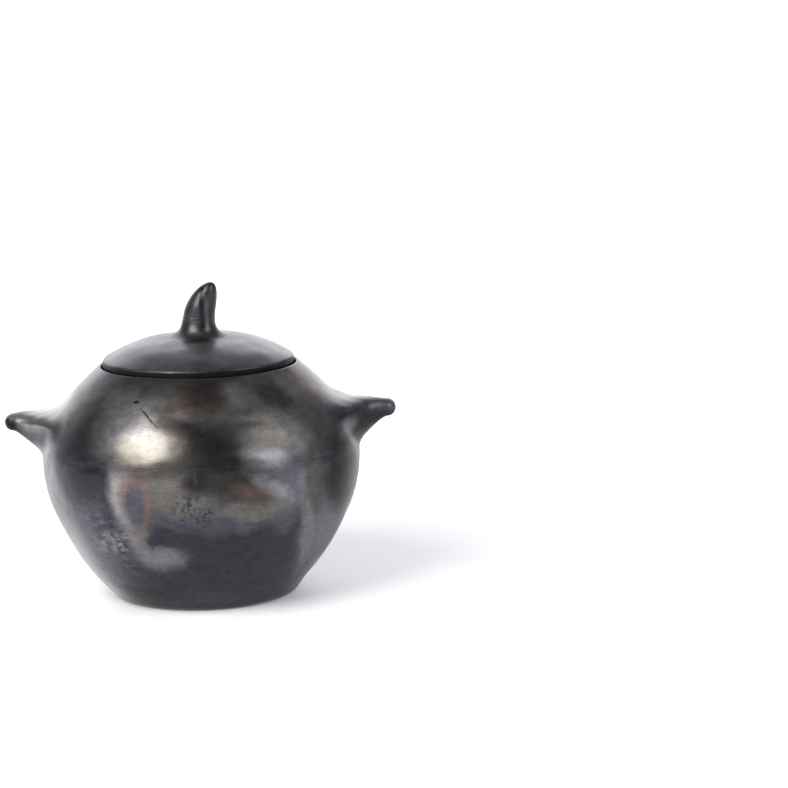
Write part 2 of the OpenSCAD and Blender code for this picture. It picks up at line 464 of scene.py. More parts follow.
# ---- Wall and lugs ----
class Lug:
    """One horn: the side it is on (-1 or 1), its tip's height and its root on the wall."""

    def __init__(self, side, tip_z, root_up, root_down):
        self.side = side
        self.tip_z = tip_z
        self.root_up = root_up
        self.root_down = root_down

    def spread(self, points):
        """0 at the middle of the lug's root, 1 on its edge, more outside it."""
        z = points[..., 2] - self.tip_z
        tall = np.where(z > 0, self.root_up, self.root_down)
        inside = np.hypot(points[..., 1] / LUG_SPREAD_W, z / tall)
        return np.where(points[..., 0] * self.side > 0, inside, np.inf)


LEFT = Lug(-1, 0.1220, 0.018, 0.0275)
RIGHT = Lug(1, 0.1262, 0.0165, 0.0275)


def dent(points):
    """Depth by which the wall is sunk under the lugs, so that it never shows through them."""
    depth = 0.0
    for lug in (LEFT, RIGHT):
        depth = depth + DENT_DEPTH * smooth(0.0, DENT_EDGE, 1.0 - lug.spread(points))
    return depth


def wall_grid():
    """Every point of the wall, rows by columns, with the marks of the hand in it."""
    grid = turned(OUTLINE, COLUMNS)
    normals = turned(OUTLINE_NORMALS, COLUMNS)
    push = np.zeros(grid.shape[:2])
    lip_end = ROWS["rim_out"][1]
    lip_rows = len(arc(LIP_CENTRE, LIP_ROUND, MOUTH_SLOPE, 180)) + FADE_IN
    outside = grid[:lip_end]
    to_lip = smooth(0, lip_rows, lip_end - np.arange(lip_end))[:, None]
    push[:lip_end] = (hand_made(outside) - dent(outside)) * to_lip
    inner_start = ROWS["rim_in"][0]
    inside = grid[inner_start:]
    from_ledge = smooth(0, FADE_IN, np.arange(len(inside)))[:, None]
    push[inner_start:] = coil_marks(inside) * from_ledge
    return grid + normals * push[..., None]


def wall_piece(name, node, slot, materials, grid, *section_names):
    """One clay part of the pot: its rows of the wall, closed along its joints."""
    normals = grid_normals(grid)
    rings, ring_normals, flat, inside = [], [], [], []
    for section_name in section_names:
        first, last = ROWS[section_name]
        if section_name.endswith("_in"):
            inside += range(len(rings), len(rings) + last - first + 1)
        for k in range(first, last + 1):
            on_axis = OUTLINE[k][0] < TINY
            rings.append(grid[k][:1] if on_axis else grid[k])
            ring_normals.append([(0.0, 0.0, OUTLINE_NORMALS[k][1])] if on_axis else normals[k])
        flat.append(len(rings) - 1)
    piece(name, "pot", node, materials, rings, ring_normals, flat, inside)


def wall_surface(y, z, side):
    """Points and normals of the outer face at given (y, z), on the lug's side of the pot."""
    rows = slice(ROWS["bowl_out"][0], ROWS["rim_out"][0])
    heights = OUTLINE[rows, 1]
    radius = np.interp(z, heights, OUTLINE[rows, 0])
    normal_out = np.interp(z, heights, OUTLINE_NORMALS[rows, 0])
    normal_up = np.interp(z, heights, OUTLINE_NORMALS[rows, 1])
    x = side * np.sqrt(radius ** 2 - y ** 2)
    base = np.stack([x, y, z], axis=-1)
    normal = unit(np.stack([normal_out * x / radius, normal_out * y / radius, normal_up], axis=-1))
    return base + normal * hand_made(base)[..., None], normal


def horn_ring(lug, x, turns, size=1.0):
    """Ring of the free part of a horn at distance x from the axis."""
    left = 1.0 - np.clip((x - LUG_ROOT_X) / (LUG_TIP_X - LUG_ROOT_X), 0.0, 1.0)
    sine = np.sin(turns)
    wide = LUG_TIP_W + (LUG_ROOT_W - LUG_TIP_W) * left ** SIDE_TAPER
    up = LUG_TIP_H + (LUG_ROOT_UP - LUG_TIP_H) * left ** UPPER_TAPER
    down = LUG_TIP_H + (LUG_ROOT_DOWN - LUG_TIP_H) * left ** LOWER_TAPER
    y = lug.side * size * wide * np.cos(turns)
    z = lug.tip_z + size * np.where(sine > 0, up, down) * sine
    return np.stack([lug.side * x + 0.0 * y, y, z], axis=-1)


def lug_rings(lug):
    """Rings of a lug from its root on the wall to its blunt tip, with their normals."""
    turns = np.linspace(0, 2 * math.pi, LUG_COLUMNS, endpoint=False)
    sine = np.sin(turns)
    root_y = lug.side * LUG_SPREAD_W * np.cos(turns)
    root_z = lug.tip_z + np.where(sine > 0, lug.root_up, lug.root_down) * sine
    root, root_normal = wall_surface(root_y, root_z, lug.side)
    join_x = LUG_JOIN_X + np.where(sine > 0, LUG_JOIN_UPPER, LUG_JOIN_LOWER) * sine ** 2
    start = horn_ring(lug, join_x, turns)
    ahead = unit(horn_ring(lug, join_x + LUG_STEP, turns) - start)
    rings = grow(root, root_normal, start, ahead, FILLET_RINGS)
    for t in np.linspace(0, 1, HORN_RINGS)[1:]:
        rings.append(horn_ring(lug, join_x + (LUG_TIP_X - join_x) * t, turns))
    for a in np.radians(np.linspace(0, 90, TIP_RINGS)[1:]):
        x = LUG_TIP_X + (lug_reach - LUG_TIP_X) * math.sin(a)
        rings.append(horn_ring(lug, x, turns, math.cos(a)))
    grid = np.array(rings)
    order = np.arange(len(grid))
    last = len(grid) - 1
    free = smooth(0, FILLET_RINGS, order) * (1 - smooth(last - FADE_IN, last, order))
    grid = grid + grid_normals(grid) * (horn_marks(grid) * free[:, None])[..., None]
    normals = grid_normals(grid)
    normals[0] = root_normal
    return grid, normals


def lug_piece(name, node, lug, material):
    """One lug, closed inside the wall by a shallow cone."""
    grid, normals = lug_rings(lug)
    outward = np.array([[lug.side, 0.0, 0.0]])
    inside = np.array([[lug.side * LUG_CONE_X, 0.0, lug.tip_z]])
    rings = [inside, *grid[:-1], grid[-1][:1]]
    ring_normals = [-outward, *normals[:-1], outward]
    piece(name, "pot", node, [material], rings, ring_normals, flat=[0])


# ---- Lid ----
DOME_TOP = np.array([0.0, dome_top - DOME_TOP_ROUND])
DOME_SIDE = DOME_TOP + (DOME_TOP_ROUND - DOME_SIDE_ROUND) * direction(DOME_SIDE_SLOPE)


def dome_slope(radius, out):
    """Slope at which an arc of this radius round DOME_SIDE lies this far out."""
    return math.degrees(math.acos((out - DOME_SIDE[0]) / radius))


def lid_outlines():
    """The lid's underside from its middle out, its side, and its upper face back again."""
    bearing_r = MOUTH_R - BEARING_W
    hollow_round = DOME_SIDE_ROUND - LID_THICK
    hollow_edge = dome_slope(hollow_round, bearing_r)
    edge_round = DOME_SIDE_ROUND - LID_EDGE_ROUND
    edge_slope = dome_slope(edge_round, lid_r - LID_EDGE_ROUND)
    edge_centre = DOME_SIDE + edge_round * direction(edge_slope)
    hollow = join(
        arc(DOME_TOP, DOME_TOP_ROUND - LID_THICK, 90, DOME_SIDE_SLOPE, 2 * ROW_STEP),
        arc(DOME_SIDE, hollow_round, DOME_SIDE_SLOPE, hollow_edge, 2 * ROW_STEP),
    )
    foot_z = seat_z + LID_FOOT_ROUND
    inner, outer = bearing_r + LID_FOOT_ROUND, lid_r - LID_FOOT_ROUND
    under = join(
        hollow,
        line(hollow[-1], (bearing_r, foot_z), ROW_STEP),
        arc(np.array([inner, foot_z]), LID_FOOT_ROUND, 180, 270),
        line((inner, seat_z), (outer, seat_z)),
    )
    side = join(
        arc(np.array([outer, foot_z]), LID_FOOT_ROUND, -90, 0),
        line((lid_r, foot_z), (lid_r, edge_centre[1]), ROW_STEP),
    )
    over = join(
        arc(edge_centre, LID_EDGE_ROUND, 0, edge_slope),
        arc(DOME_SIDE, DOME_SIDE_ROUND, edge_slope, DOME_SIDE_SLOPE),
        arc(DOME_TOP, DOME_TOP_ROUND, DOME_SIDE_SLOPE, 90),
    )
    return under, side, over


def lid_piece(material, inner_material):
    """The domed disc, unburnished underneath."""
    under, side, over = lid_outlines()
    outline = join(under, side, over)
    grid = turned(outline, LID_COLUMNS)
    push = np.zeros(grid.shape[:2])
    push[-len(over):] = lid_swell(grid[-len(over):])
    grid = grid + turned(outline_normals(outline), LID_COLUMNS) * push[..., None]
    normals = grid_normals(grid)
    up = np.array([[0.0, 0.0, 1.0]])
    rings = [grid[0][:1], *grid[1:-1], grid[-1][:1]]
    ring_normals = [-up, *normals[1:-1], up]
    piece("lid_shell", "lid", "lid_dome", [material, inner_material], rings,
          ring_normals, inside=range(len(under) - 1))


def dome_surface(x, y):
    """Points and normals of the middle of the lid's upper face."""
    z = DOME_TOP[1] + np.sqrt(DOME_TOP_ROUND ** 2 - x ** 2 - y ** 2)
    base = np.stack([x, y, z], axis=-1)
    normal = unit(base - np.array([0.0, 0.0, DOME_TOP[1]]))
    return base + normal * lid_swell(base)[..., None], normal


def stem_ring(height, turns):
    """Ring of the stem's free part at a height over the dome."""
    rise = max(0.0, height - (stem_h - STEM_TIP_LENGTH)) / STEM_TIP_LENGTH
    taper = math.sqrt(max(0.0, 1 - rise ** 2))
    radius = taper * (STEM_R + STEM_FLARE * math.exp(-height / STEM_FLARE_H))
    lean = STEM_LEAN * (height / stem_h) ** STEM_LEAN_POWER
    x = STEM_X + lean * math.cos(STEM_HEADING) + radius * np.cos(turns)
    y = lean * math.sin(STEM_HEADING) + radius * np.sin(turns)
    return np.stack([x, y, np.full_like(turns, dome_top + height)], axis=-1)


def stem_piece(material):
    """The curved stem, flowing out of the dome."""
    turns = np.linspace(0, 2 * math.pi, STEM_COLUMNS, endpoint=False)
    root_x = STEM_X + STEM_ROOT_R * np.cos(turns)
    root, root_normal = dome_surface(root_x, STEM_ROOT_R * np.sin(turns))
    start = stem_ring(STEM_JOIN_H, turns)
    ahead = unit(stem_ring(STEM_JOIN_H + STEM_STEP, turns) - start)
    rings = grow(root, root_normal, start, ahead, STEM_FILLET_RINGS)
    shaft_h = stem_h - STEM_TIP_LENGTH
    for height in np.linspace(STEM_JOIN_H, shaft_h, SHAFT_RINGS)[1:]:
        rings.append(stem_ring(height, turns))
    for a in np.radians(np.linspace(0, 90, STEM_TIP_RINGS)[1:]):
        rings.append(stem_ring(shaft_h + STEM_TIP_LENGTH * math.sin(a), turns))
    grid = np.array(rings)
    top_z = dome_top + stem_h
    free = smooth(0, STEM_FILLET_RINGS, np.arange(len(grid)))[:, None]
    free = free * (1 - smooth(top_z - STEM_TOP_FADE, top_z, grid[..., 2]))
    grid = grid + grid_normals(grid) * (stem_marks(grid) * free)[..., None]
    normals = grid_normals(grid)
    normals[0] = root_normal
    up = np.array([[0.0, 0.0, 1.0]])
    inside = np.array([[STEM_X, 0.0, dome_top - STEM_CONE]])
    rings = [inside, *grid[:-1], grid[-1][:1]]
    ring_normals = [-up, *normals[:-1], up]
    piece("lid_handle", "lid", "lid_stem", [material], rings, ring_normals, flat=[0])


# ---- Materials ----
MM_PER_M = 1000.0
# Noise seldom leaves this range
NOISE_RANGE = (0.3, 0.7)
# Numbers of the Mix node's sockets for colours
MIX_FIRST = 6
MIX_SECOND = 7
MIX_RESULT = 2


def rgb(r, g, b):
    """An opaque colour."""
    return (r, g, b, 1.0)


class Nodes:
    """Short calls for the nodes that the world and the materials are made of."""

    def __init__(self, tree, space):
        self.tree = tree
        self.place = self.node("ShaderNodeTexCoord").outputs[space]

    def node(self, kind, *values, **settings):
        """A new node with settings, its inputs filled in order from values or sockets."""
        made = self.tree.nodes.new(kind)
        for key, value in settings.items():
            setattr(made, key, value)
        for socket, value in zip(made.inputs, values):
            self.feed(socket, value)
        return made

    def feed(self, socket, value):
        """Puts a value, or a link from another node's socket, into a socket."""
        if isinstance(value, bpy.types.NodeSocket):
            self.tree.links.new(value, socket)
        else:
            socket.default_value = value

    def ramp(self, value, low, high, to_low=0.0, to_high=1.0):
        """A smooth change from to_low to to_high as the value goes from low to high."""
        made = self.node("ShaderNodeMapRange", value, low, high, to_low, to_high,
                         interpolation_type="SMOOTHSTEP")
        return made.outputs[0]


class Shader(Nodes):
    """A node material, with short calls for what the clays are made of."""

    def __init__(self, name):
        self.material = bpy.data.materials.new(name)
        self.material.use_nodes = True
        super().__init__(self.material.node_tree, "Object")
        self.bsdf = self.tree.nodes["Principled BSDF"]
        self.x, self.y, self.z = self.node("ShaderNodeSeparateXYZ", self.place).outputs

    def set(self, name, value):
        """Sets an input of the shader itself."""
        self.feed(self.bsdf.inputs[name], value)

    def calc(self, operation, *values):
        """The result of one operation on numbers."""
        return self.node("ShaderNodeMath", *values, operation=operation).outputs[0]

    def times(self, value, *factors):
        """The product of a value and one or more factors."""
        for factor in factors:
            value = self.calc("MULTIPLY", value, factor)
        return value

    def vector(self, operation, *values):
        """The result of one operation on places or colours."""
        return self.node("ShaderNodeVectorMath", *values, operation=operation).outputs[0]

    def noise(self, place, scale, detail, roughness=0.5, output="Fac"):
        """Random values with this many swells a metre."""
        made = self.node("ShaderNodeTexNoise", place)
        self.feed(made.inputs["Scale"], scale)
        self.feed(made.inputs["Detail"], detail)
        self.feed(made.inputs["Roughness"], roughness)
        return made.outputs[output]

    def varied(self, texture, low, high):
        """A value that follows a noise texture from low to high."""
        return self.ramp(texture, *NOISE_RANGE, low, high)

    def mix(self, share, first, second):
        """The first colour, with this share of the second one in it."""
        made = self.node("ShaderNodeMix", share, data_type="RGBA")
        self.feed(made.inputs[MIX_FIRST], first)
        self.feed(made.inputs[MIX_SECOND], second)
        return made.outputs[MIX_RESULT]

    def flattened(self, share):
        """Places at which noise is this many times flatter than it is wide."""
        return self.vector("MULTIPLY", self.place, (1.0, 1.0, share))

    def shaded(self, colour, brightness):
        """A colour made brighter or darker."""
        made = self.node("ShaderNodeVectorMath", colour, operation="SCALE")
        self.feed(made.inputs["Scale"], brightness)
        return made.outputs[0]

    def bump(self, height, distance, below=None):
        """A normal tilted by a height of up to this distance, over another normal."""
        made = self.node("ShaderNodeBump")
        self.feed(made.inputs["Strength"], 1.0)
        self.feed(made.inputs["Distance"], distance)
        self.feed(made.inputs["Height"], height)
        if below is not None:
            self.feed(made.inputs["Normal"], below)
        return made.outputs[0]

    def from_axis(self):
        """Distance from the pot's axis."""
        squares = self.calc("ADD", self.times(self.x, self.x), self.times(self.y, self.y))
        return self.calc("SQRT", squares)

    def unrolled(self):
        """The outer face laid flat: mm round the belly from the front, and mm up."""
        turn = self.calc("ARCTAN2", self.x, self.times(self.y, -1.0))
        across = self.times(turn, belly_r * MM_PER_M)
        return self.node("ShaderNodeCombineXYZ", across, self.times(self.z, MM_PER_M)).outputs[0]

    def wandering(self, flat, scale, distance):
        """Places on the unrolled face, moved about by noise of this scale."""
        drift = self.noise(self.place, scale, 3.0, 0.55, "Color")
        centred = self.vector("SUBTRACT", drift, (0.5, 0.5, 0.5))
        moved = self.vector("MULTIPLY", centred, (distance, distance, 0.0))
        return self.vector("ADD", flat, moved)

    def spot(self, flat, across, up, half_across, half_up, tilt, soft):
        """Mask of an oval on the unrolled face: 1 inside it, 0 outside, soft at its edge."""
        made = self.node("ShaderNodeTexGradient", flat, gradient_type="SPHERICAL")
        made.texture_mapping.vector_type = "TEXTURE"
        made.texture_mapping.translation = (across, up, 0.0)
        made.texture_mapping.rotation = (0.0, 0.0, math.radians(tilt))
        made.texture_mapping.scale = (half_across * (1 + soft), half_up * (1 + soft), 1.0)
        return self.ramp(made.outputs["Fac"], 0.0, 2 * soft / (1 + soft))


SLATE = rgb(0.045, 0.045, 0.0545)
LIGHT_SLATE = rgb(0.095, 0.095, 0.118)
MAUVE = rgb(0.155, 0.149, 0.184)
PALE = rgb(0.195, 0.193, 0.212)
CREAM = rgb(0.330, 0.318, 0.325)
TAN = rgb(0.145, 0.137, 0.130)
WARM = rgb(0.150, 0.134, 0.112)
OLIVE = rgb(0.106, 0.100, 0.088)
OLIVE_BLACK = rgb(0.026, 0.025, 0.024)
BROWN = rgb(0.140, 0.104, 0.090)
DARK_BROWN = rgb(0.100, 0.074, 0.066)
RUST = rgb(0.066, 0.045, 0.043)
UMBER = rgb(0.024, 0.019, 0.017)
NEAR_BLACK = rgb(0.014, 0.014, 0.017)
BLUE_GREY = rgb(0.076, 0.079, 0.101)
PALE_BLUE = rgb(0.135, 0.138, 0.170)
LID_DARK = rgb(0.034, 0.034, 0.038)
LID_LIGHT = rgb(0.052, 0.051, 0.058)
LID_SIDE_SHADE = rgb(0.006, 0.006, 0.007)
LID_DUST = rgb(0.85, 0.84, 0.95)
INNER_DARK = rgb(0.018, 0.018, 0.020)
INNER_LIGHT = rgb(0.050, 0.049, 0.050)

# Fire clouds of the pot on its unrolled face, with a few painted highlights and painted
# reflections among them, the first ones lying under the later ones:
# mm round the belly from the front, mm up, half width, half height, degrees of tilt,
# tint, strength and softness of the edge
CLOUDS_AND_PAINTED_LIGHT = [
    # Wide changes of tint
    (0, 132, 100, 30, 0, OLIVE, 0.75, 0.5),
    (-112, 45, 40, 44, 0, MAUVE, 0.75, 0.5),
    (-130, 34, 29, 42, 0, CREAM, 0.9, 0.6),
    (-127, 80, 14, 24, 0, PALE, 0.8, 0.6),
    (-95, 120, 24, 18, 0, SLATE, 0.35, 0.6),
    (-113, 143, 22, 14, 0, OLIVE_BLACK, 0.95, 0.6),
    (106, 128, 24, 28, 0, PALE, 0.3, 0.6),
    (-84, 96, 22, 18, 0, SLATE, 0.85, 0.6),
    (-80, 99, 24, 9, 0, NEAR_BLACK, 0.4, 0.7),
    (-86, 114, 28, 7, 0, LIGHT_SLATE, 0.5, 0.8),
    (-62, 9, 28, 10, 0, NEAR_BLACK, 0.55, 0.6),
    (106, 50, 18, 26, 25, PALE, 0.75, 0.6),
    (18, 69, 52, 7, 0, LIGHT_SLATE, 0.8, 0.7),
    (60, 6, 90, 7, 0, LIGHT_SLATE, 0.6, 0.8),
    (150, 92, 26, 34, 0, OLIVE_BLACK, 0.9, 0.5),
    # Painted dark reflection on the wall under the right lug
    (119, 92, 14, 22, 0, NEAR_BLACK, 1.0, 0.5),
    # Shoulder
    # Lighter clay round the top of the key highlight, partly a painted spread of that highlight
    (-54, 132, 26, 20, 0, PALE, 0.85, 0.6),
    (-66, 145, 16, 8, 0, CREAM, 0.35, 0.7),
    (-40, 119, 17, 11, 0, WARM, 0.8, 0.7),
    # Lighter clay at the top left of the key highlight, partly a painted spread of that highlight
    (-50, 135, 12, 9, 0, CREAM, 0.5, 0.7),
    (-11, 133, 24, 7, -18, OLIVE_BLACK, 0.85, 0.6),
    (45, 136, 32, 9, 0, TAN, 0.8, 0.6),
    (43, 129, 11, 5, 0, SLATE, 0.6, 0.7),
    (36, 149, 16, 7, 0, CREAM, 0.55, 0.6),
    (11, 140, 20, 4.5, 0, PALE, 0.65, 0.7),
    (7, 147, 21, 9, 0, DARK_BROWN, 0.85, 0.5),
    (9, 152, 19, 8, 0, RUST, 0.95, 0.5),
    (12, 153, 8, 5, 0, SLATE, 0.6, 0.6),
    (80, 148, 34, 14, -8, TAN, 0.85, 0.5),
    (77, 147.5, 18, 9.5, -8, SLATE, 0.8, 0.35),
    (74, 134, 10, 6, 0, PALE, 0.5, 0.7),
    (124, 149, 30, 10, 0, BROWN, 0.85, 0.5),
    (108, 149, 18, 8, -20, PALE, 0.85, 0.7),
    # Belly
    (-6, 90, 32, 16, 0, TAN, 0.85, 0.45),
    (24, 106, 18, 22, 0, OLIVE_BLACK, 0.6, 0.6),
    (10, 124, 20, 8, 0, OLIVE_BLACK, 0.75, 0.7),
    (22, 92, 17, 7, 0, OLIVE_BLACK, 0.7, 0.7),
    (2, 98, 10, 9, 0, OLIVE_BLACK, 0.95, 0.7),
    (72, 95, 13, 15, 0, PALE_BLUE, 0.9, 0.5),
    (50, 111, 15, 6, -12, PALE, 0.8, 0.7),
    (50, 105, 13, 7, 0, PALE, 0.6, 0.7),
    (87, 118, 9, 19, 0, PALE, 0.6, 0.6),
    (80, 86, 5, 12, 0, PALE, 0.6, 0.7),
    (58, 88, 15, 4.5, -30, CREAM, 0.7, 0.9),
    (46, 75, 31, 6, -3, TAN, 0.95, 0.45),
    (43, 86, 16, 6.5, -14, DARK_BROWN, 0.9, 0.7),
    (91, 84, 8, 28, 8, OLIVE, 0.9, 0.7),
    (94, 52, 6, 30, 22, PALE, 0.8, 0.6),
    (64, 78, 10, 5, -15, PALE, 0.4, 0.7),
    (66, 66, 9, 10, 0, LIGHT_SLATE, 0.8, 0.5),
    (-38, 114, 22, 8, 0, TAN, 0.7, 0.7),
    # Lugs
    (-166, 108, 34, 16, 0, LIGHT_SLATE, 0.9, 0.5),
    # Painted reflection of the bright backdrop on the top of the left lug
    (-166, 131, 34, 11, 0, CREAM, 0.85, 0.6),
    # Painted highlight in the fillet just below the right lug's root
    (137, 118, 10, 5, 0, PALE, 1.0, 0.9),
    # Painted highlight along the upper front of the right lug's root
    (158, 134, 26, 5, 0, PALE, 0.75, 0.8),
    # Oval with its rings, and the hook under it
    (-48, 82, 10, 25, 10, CREAM, 0.85, 0.5),
    (-41, 84, 11, 22, 4, BROWN, 0.9, 0.45),
    (-41, 81, 6, 16, 2, BLUE_GREY, 0.95, 0.35),
    (-42, 54, 6, 12, 16, BROWN, 0.7, 0.6),
    (-44, 50, 7, 10, 20, PALE, 0.7, 0.6),
    (-26, 42, 18, 8, 2, PALE, 0.88, 0.55),
    (-20, 58, 13, 6.5, -8, SLATE, 0.95, 0.35),
    # Back and sides
    (-205, 84, 34, 30, 20, TAN, 0.8, 0.5),
    (-215, 90, 16, 20, 10, BLUE_GREY, 0.8, 0.4),
    (-285, 120, 38, 22, 0, BROWN, 0.6, 0.6),
    (-300, 50, 34, 26, 0, MAUVE, 0.7, 0.5),
    (190, 40, 36, 24, -15, MAUVE, 0.7, 0.5),
    (240, 92, 30, 26, -20, OLIVE_BLACK, 0.85, 0.5),
    (262, 82, 20, 10, -20, CREAM, 0.6, 0.6),
    (300, 132, 30, 16, 0, OLIVE, 0.8, 0.5),
]
# Ovals of other marks on the unrolled face: place, half sizes and tilt, as in the fire clouds
SCUFFS = [(-72, 54, 32, 24, 0), (200, 52, 36, 22, 0), (-262, 66, 40, 26, 0)]
RUBBED = (-63, 54, 17, 6, 8)
PITTED = (0, 79, 14, 12, 0)
# A chip, the scratch under it and a nick
NICKS = [(-52, 147, 3.2, 1.0, 0), (-36, 138.5, 10, 0.5, -30), (1, 101, 1.2, 4, 10)]
# Distances from the line between bowl and shoulder over which it fades out
JOINT_LINE = (0.0002, 0.0009)
# The left lug's brown end fades out over these distances from its tip, and heights over it
BROWN_END = (0.006, 0.016)
BROWN_TOP = (0.0020, 0.0055)
# Distances from the tips of both lugs over which they turn dull
DULL_END = (0.023, 0.009)

# Upright stripes in the front of the stem: a groove darkened with painted shade, and a painted
# highlight beside it: place along X, half width
GROOVE_SHADE_STRIPE = (0.0042, 0.0018)
HIGHLIGHT_STRIPE = (0.0073, 0.0014)
# Shares of the half width between which a stripe fades out
STRIPE_EDGE = (0.2, 1.3)
# Places along Y over which the stripes fade out, and heights over the dome to fade in over
STRIPES_FRONT = (-0.004, -0.001)
STRIPES_FOOT = (0.002, 0.007)
# Heights over the seat at which the painted shade on the lid's side ends
SIDE_SHADE_TOP = (0.0100, 0.0116)
# Distances from the axis over which the dust on the lid sets in
DUST_R = (0.018, 0.034)


def burnished_clay():
    """Black clay rubbed with a stone: a graphite sheen, fire clouds, scuffs and pits, with a few
    painted highlights and painted reflections among the clouds.
    """
    s = Shader("burnished_clay")
    flat = s.unrolled()
    tint_place = s.wandering(s.wandering(s.wandering(flat, 24, 11), 90, 7), 240, 2.5)
    colour = SLATE
    # A few of these ovals are painted highlights and painted reflections, not fire clouds
    for *oval, tint, strength, soft in CLOUDS_AND_PAINTED_LIGHT:
        tint_mask = s.spot(tint_place, *oval, soft)
        colour = s.mix(s.times(tint_mask, strength), colour, tint)

    # Scuffs: lighter, broken patches, the first one low on the left
    blotches = s.noise(s.flattened(2.2), 130, 7.0, 0.72)
    scuffed = s.ramp(blotches, 0.40, 0.62)
    for scuff in SCUFFS:
        patch = s.spot(tint_place, *scuff, 0.5)
        colour = s.mix(s.times(scuffed, patch, 0.7), colour, MAUVE)
    rubbed = s.times(s.spot(tint_place, *RUBBED, 0.6), s.ramp(blotches, 0.42, 0.55))
    colour = s.mix(s.times(rubbed, 0.6), colour, CREAM)

    # Pits, and marks of single knocks
    holes = s.ramp(s.noise(s.place, 330, 3.0), 0.48, 0.62)
    pits = s.times(s.spot(flat, *PITTED, 0.6), holes)
    nick_place = s.wandering(flat, 200, 2.5)
    for nick in NICKS:
        pits = s.calc("MAXIMUM", pits, s.spot(nick_place, *nick, 0.4))
    colour = s.mix(pits, colour, SLATE)

    # Faint level line where the bowl and the shoulder were joined
    from_line = s.calc("ABSOLUTE", s.calc("SUBTRACT", s.z, JOINT_LINE_Z))
    broken = s.ramp(s.noise(s.flattened(0.2), 60, 3.0), 0.42, 0.58)
    joint_line = s.times(s.ramp(from_line, *JOINT_LINE, 1.0, 0.0), broken)
    colour = s.mix(s.times(joint_line, 0.2), colour, NEAR_BLACK)

    # Brown end of the left lug, and the dull ends of both
    left_end = s.ramp(s.x, BROWN_END[0] - lug_reach, BROWN_END[1] - lug_reach, 1.0, 0.0)
    below_its_top = s.ramp(s.z, LEFT.tip_z + BROWN_TOP[0], LEFT.tip_z + BROWN_TOP[1], 1.0, 0.0)
    colour = s.mix(s.times(left_end, below_its_top), colour, UMBER)
    dull = s.ramp(s.from_axis(), lug_reach - DULL_END[0], lug_reach - DULL_END[1])

    # Strokes of the stone
    streaks = s.noise(s.flattened(5.5), 75, 5.0, 0.6)
    mottle = s.noise(s.place, 150, 4.0, 0.65)
    scratches = s.noise(s.flattened(3), 260, 3.0, 0.6)
    brightness = s.times(s.varied(mottle, 0.69, 0.89), s.varied(streaks, 0.94, 1.06),
                         s.varied(scratches, 0.92, 1.08))
    s.set("Base Color", s.shaded(colour, brightness))
    s.set("Metallic", 1.0)
    worn = s.varied(s.noise(s.place, 45, 4.0, 0.6), 0.23, 0.31)
    rubbed_to = s.calc("ADD", worn, s.times(streaks, 0.05))
    s.set("Roughness", s.calc("ADD", rubbed_to, s.times(dull, 0.12)))
    relief = s.bump(scratches, 0.000014, s.bump(streaks, 0.00004))
    relief = s.bump(s.noise(s.place, 700, 3.0, 0.6), 0.000016, relief)
    relief = s.bump(s.calc("ADD", pits, s.times(joint_line, 0.4)), -0.0001, relief)
    s.set("Normal", relief)
    return s.material


def stem_stripe(s, place, half_w):
    """Mask of an upright stripe in the front of the stem."""
    across = s.calc("ABSOLUTE", s.calc("SUBTRACT", s.x, place))
    stripe = s.ramp(across, STRIPE_EDGE[0] * half_w, STRIPE_EDGE[1] * half_w, 1.0, 0.0)
    in_front = s.ramp(s.y, *STRIPES_FRONT, 1.0, 0.0)
    above_foot = s.ramp(s.z, dome_top + STRIPES_FOOT[0], dome_top + STRIPES_FOOT[1])
    return s.times(stripe, in_front, above_foot)


def lid_clay():
    """Black clay with a satin surface, dusty on top, with painted shade on its side below the
    edge.
    """
    s = Shader("lid_clay")
    patches = s.noise(s.place, 34, 4.0, 0.6)
    fine = s.noise(s.place, 190, 4.0, 0.65)
    colour = s.mix(s.ramp(patches, 0.32, 0.68), LID_DARK, LID_LIGHT)
    colour = s.shaded(colour, s.varied(fine, 0.8, 1.2))
    # Painted shade in the groove on the stem's front, and a painted highlight in a stripe beside
    # it
    groove_and_shade = stem_stripe(s, *GROOVE_SHADE_STRIPE)
    painted_highlight = s.calc("ADD", 1.0, s.times(stem_stripe(s, *HIGHLIGHT_STRIPE), 0.6))
    colour = s.shaded(colour, s.calc("ADD", painted_highlight, s.times(groove_and_shade, -0.6)))

    # Painted shade on the lid's side, up to an uneven line
    uneven_z = s.calc("ADD", s.z, s.times(patches, 0.003))
    shaded_side = s.ramp(uneven_z, seat_z + SIDE_SHADE_TOP[0], seat_z + SIDE_SHADE_TOP[1], 1.0, 0.0)
    s.set("Base Color", s.mix(shaded_side, colour, LID_SIDE_SHADE))
    s.set("Metallic", 0.9)
    s.set("Roughness", s.calc("ADD", s.varied(fine, 0.32, 0.40), s.times(shaded_side, 0.2)))
    dusty = s.times(s.ramp(s.from_axis(), *DUST_R), s.varied(patches, 0.1, 0.22))
    s.set("Sheen Weight", s.times(dusty, s.calc("SUBTRACT", 1.0, shaded_side)))
    s.set("Sheen Roughness", 0.4)
    s.set("Sheen Tint", LID_DUST)
    relief = s.bump(s.noise(s.flattened(2), 120, 5.0, 0.6), 0.00008)
    relief = s.bump(s.noise(s.place, 800, 3.0, 0.6), 0.00002, relief)
    s.set("Normal", s.bump(groove_and_shade, -0.0002, relief))
    return s.material


def inner_clay():
    """Unburnished black clay."""
    s = Shader("inner_clay")
    grain = s.noise(s.place, 260, 5.0, 0.65)
    s.set("Base Color", s.mix(grain, INNER_DARK, INNER_LIGHT))
    s.set("Roughness", s.varied(grain, 0.55, 0.75))
    s.set("Normal", s.bump(grain, 0.0003))
    return s.material


# ---- Stage ----
FLOOR_HALF = 14.0
FLOOR_WHITE = rgb(0.74, 0.75, 0.78)
GLOW_WHITE = rgb(0.98, 0.985, 1.0)
WORLD_WHITE = rgb(0.97, 0.98, 1.0)
